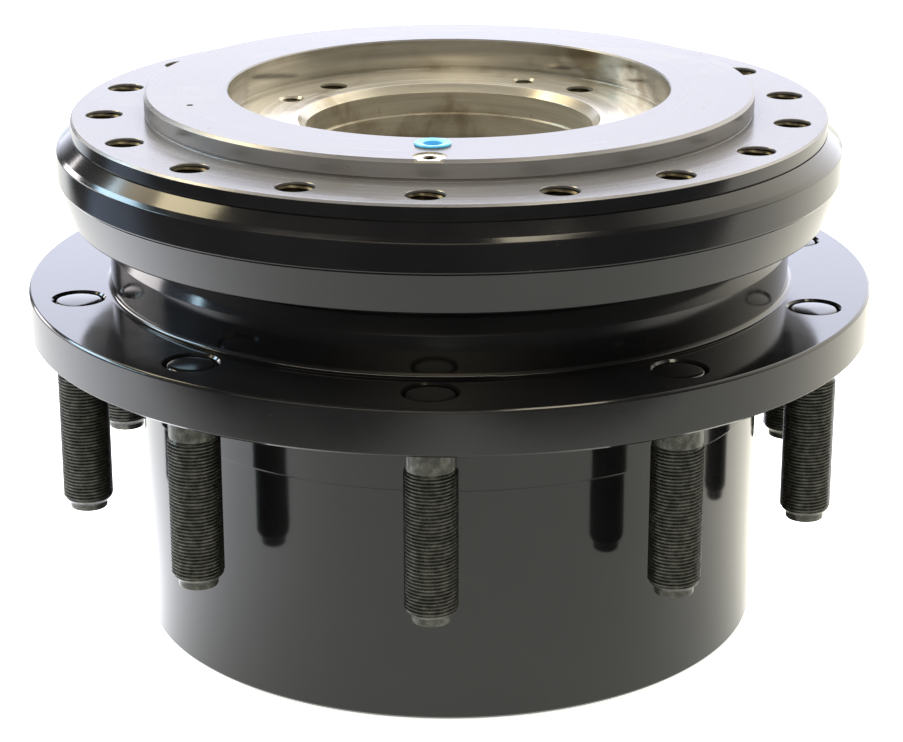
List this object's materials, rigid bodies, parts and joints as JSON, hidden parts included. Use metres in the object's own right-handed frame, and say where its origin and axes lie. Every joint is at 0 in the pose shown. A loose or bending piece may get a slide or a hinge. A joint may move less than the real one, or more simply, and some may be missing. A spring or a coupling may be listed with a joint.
{
  "type": "planetary wheel drive gearbox",
  "caption": "Planetary wheel drive gearbox with a studded wheel flange on a turning hub, a fixed frame flange, and an open seat for a hydraulic plug-in motor.",
  "frame": {"origin": "centre of the hub's lower end face, on the axis, level with the barrel's foot", "axes": "+Z along the gearbox axis, from the end cover to the frame flange and motor seat; -Y towards the brake port plug"},
  "size_m": [0.376, 0.376, 0.2422],
  "materials": {
    "black_paint": "gloss black enamel over a machined casting",
    "machined_steel": "bare machined cast steel with turning marks and a film of oil",
    "black_phosphate": "black phosphated steel, satin",
    "bearing_steel": "ground and hardened steel",
    "gear_steel": "case hardened gear steel, ground flanks, dark",
    "seal_rubber": "nitrile rubber, matt black",
    "blue_plastic": "moulded light blue plastic",
    "zinc_plate": "zinc plated",
    "friction_lining": "sintered friction lining, dark bronze brown",
    "spring_steel": "oil tempered spring steel, dark"
  },
  "bodies": {
    "spindle": {"spindle": "black_paint", "port_plug": "blue_plastic", "bearing_nut": "black_phosphate", "lower_bearing_inner": "bearing_steel", "upper_bearing_inner": "bearing_steel", "fixed_seal_ring": "bearing_steel", "fixed_toric": "seal_rubber", "spring_seat": "bearing_steel", "brake_snap_ring": "black_phosphate", "brake_springs": "spring_steel", "steel_plates": "bearing_steel", "output_carrier": "machined_steel", "output_pins": "bearing_steel", "output_washers": "bearing_steel", "carrier_screws": "black_phosphate"},
    "hub": {"wheel_hub": "black_paint", "ring_gear": "gear_steel", "ring_gear_dowels": "bearing_steel", "wheel_studs": "black_phosphate", "end_cover": "black_paint", "cover_o_ring": "seal_rubber", "cover_snap_ring": "black_phosphate", "oil_plugs": "zinc_plate", "thrust_cap": "black_paint", "lower_bearing_outer": "bearing_steel", "upper_bearing_outer": "bearing_steel", "turning_seal_ring": "bearing_steel", "turning_toric": "seal_rubber"},
    "lower_roller_set": {"lower_bearing_rollers": "bearing_steel", "lower_bearing_cage": "machined_steel"},
    "upper_roller_set": {"upper_bearing_rollers": "bearing_steel", "upper_bearing_cage": "machined_steel"},
    "brake_piston": {"brake_piston": "machined_steel", "piston_seals": "seal_rubber"},
    "middle_shaft": {"output_sun": "gear_steel", "input_carrier": "machined_steel", "input_pins": "bearing_steel", "input_washers": "bearing_steel"},
    "input_shaft": {"input_shaft": "gear_steel", "coupling_sleeve": "gear_steel", "friction_discs": "friction_lining"},
    "output_planet_1": {"output_planet_1": "gear_steel", "output_needles_1": "bearing_steel"},
    "output_planet_2": {"output_planet_2": "gear_steel", "output_needles_2": "bearing_steel"},
    "output_planet_3": {"output_planet_3": "gear_steel", "output_needles_3": "bearing_steel"},
    "output_planet_4": {"output_planet_4": "gear_steel", "output_needles_4": "bearing_steel"},
    "input_planet_1": {"input_planet_1": "gear_steel", "input_needles_1": "bearing_steel"},
    "input_planet_2": {"input_planet_2": "gear_steel", "input_needles_2": "bearing_steel"},
    "input_planet_3": {"input_planet_3": "gear_steel", "input_needles_3": "bearing_steel"}
  },
  "joints": [
    {"name": "hub_spin", "type": "hinge", "parent": "spindle", "child": "hub", "pos_m": [0, 0, 0.1465], "axis": [0, 0, 1], "continuous": true},
    {"name": "lower_rollers_spin", "type": "hinge", "parent": "spindle", "child": "lower_roller_set", "pos_m": [0, 0, 0.131], "axis": [0, 0, 1], "continuous": true},
    {"name": "upper_rollers_spin", "type": "hinge", "parent": "spindle", "child": "upper_roller_set", "pos_m": [0, 0, 0.175], "axis": [0, 0, 1], "continuous": true},
    {"name": "output_planet_1_spin", "type": "hinge", "parent": "spindle", "child": "output_planet_1", "pos_m": [0.075, 0, 0.075], "axis": [0, 0, 1], "continuous": true},
    {"name": "output_planet_2_spin", "type": "hinge", "parent": "spindle", "child": "output_planet_2", "pos_m": [0, 0.075, 0.075], "axis": [0, 0, 1], "continuous": true},
    {"name": "output_planet_3_spin", "type": "hinge", "parent": "spindle", "child": "output_planet_3", "pos_m": [-0.075, 0, 0.075], "axis": [0, 0, 1], "continuous": true},
    {"name": "output_planet_4_spin", "type": "hinge", "parent": "spindle", "child": "output_planet_4", "pos_m": [0, -0.075, 0.075], "axis": [0, 0, 1], "continuous": true},
    {"name": "middle_shaft_spin", "type": "hinge", "parent": "spindle", "child": "middle_shaft", "pos_m": [0, 0, 0.06], "axis": [0, 0, 1], "continuous": true},
    {"name": "input_planet_1_spin", "type": "hinge", "parent": "middle_shaft", "child": "input_planet_1", "pos_m": [0.05846, 0.03375, 0.0275], "axis": [0, 0, 1], "continuous": true},
    {"name": "input_planet_2_spin", "type": "hinge", "parent": "middle_shaft", "child": "input_planet_2", "pos_m": [-0.05846, 0.03375, 0.0275], "axis": [0, 0, 1], "continuous": true},
    {"name": "input_planet_3_spin", "type": "hinge", "parent": "middle_shaft", "child": "input_planet_3", "pos_m": [0, -0.0675, 0.0275], "axis": [0, 0, 1], "continuous": true},
    {"name": "input_shaft_spin", "type": "hinge", "parent": "spindle", "child": "input_shaft", "pos_m": [0, 0, 0.1], "axis": [0, 0, 1], "continuous": true},
    {"name": "brake_release", "type": "slide", "parent": "spindle", "child": "brake_piston", "axis": [0, 0, -1], "range_m": [0, 0.0025], "stiffness_N_per_m": 40000, "springref_m": -0.004, "deforming": ["brake_springs"]}
  ],
  "couplings": [
    {"joint": "lower_rollers_spin", "follows": "hub_spin", "ratio": 0.5291},
    {"joint": "upper_rollers_spin", "follows": "hub_spin", "ratio": 0.5291},
    {"joint": "output_planet_1_spin", "follows": "hub_spin", "ratio": 3},
    {"joint": "output_planet_2_spin", "follows": "hub_spin", "ratio": 3},
    {"joint": "output_planet_3_spin", "follows": "hub_spin", "ratio": 3},
    {"joint": "output_planet_4_spin", "follows": "hub_spin", "ratio": 3},
    {"joint": "middle_shaft_spin", "follows": "hub_spin", "ratio": -3},
    {"joint": "input_planet_1_spin", "follows": "hub_spin", "ratio": 10},
    {"joint": "input_planet_2_spin", "follows": "hub_spin", "ratio": 10},
    {"joint": "input_planet_3_spin", "follows": "hub_spin", "ratio": 10},
    {"joint": "input_shaft_spin", "follows": "hub_spin", "ratio": -23}
  ]
}
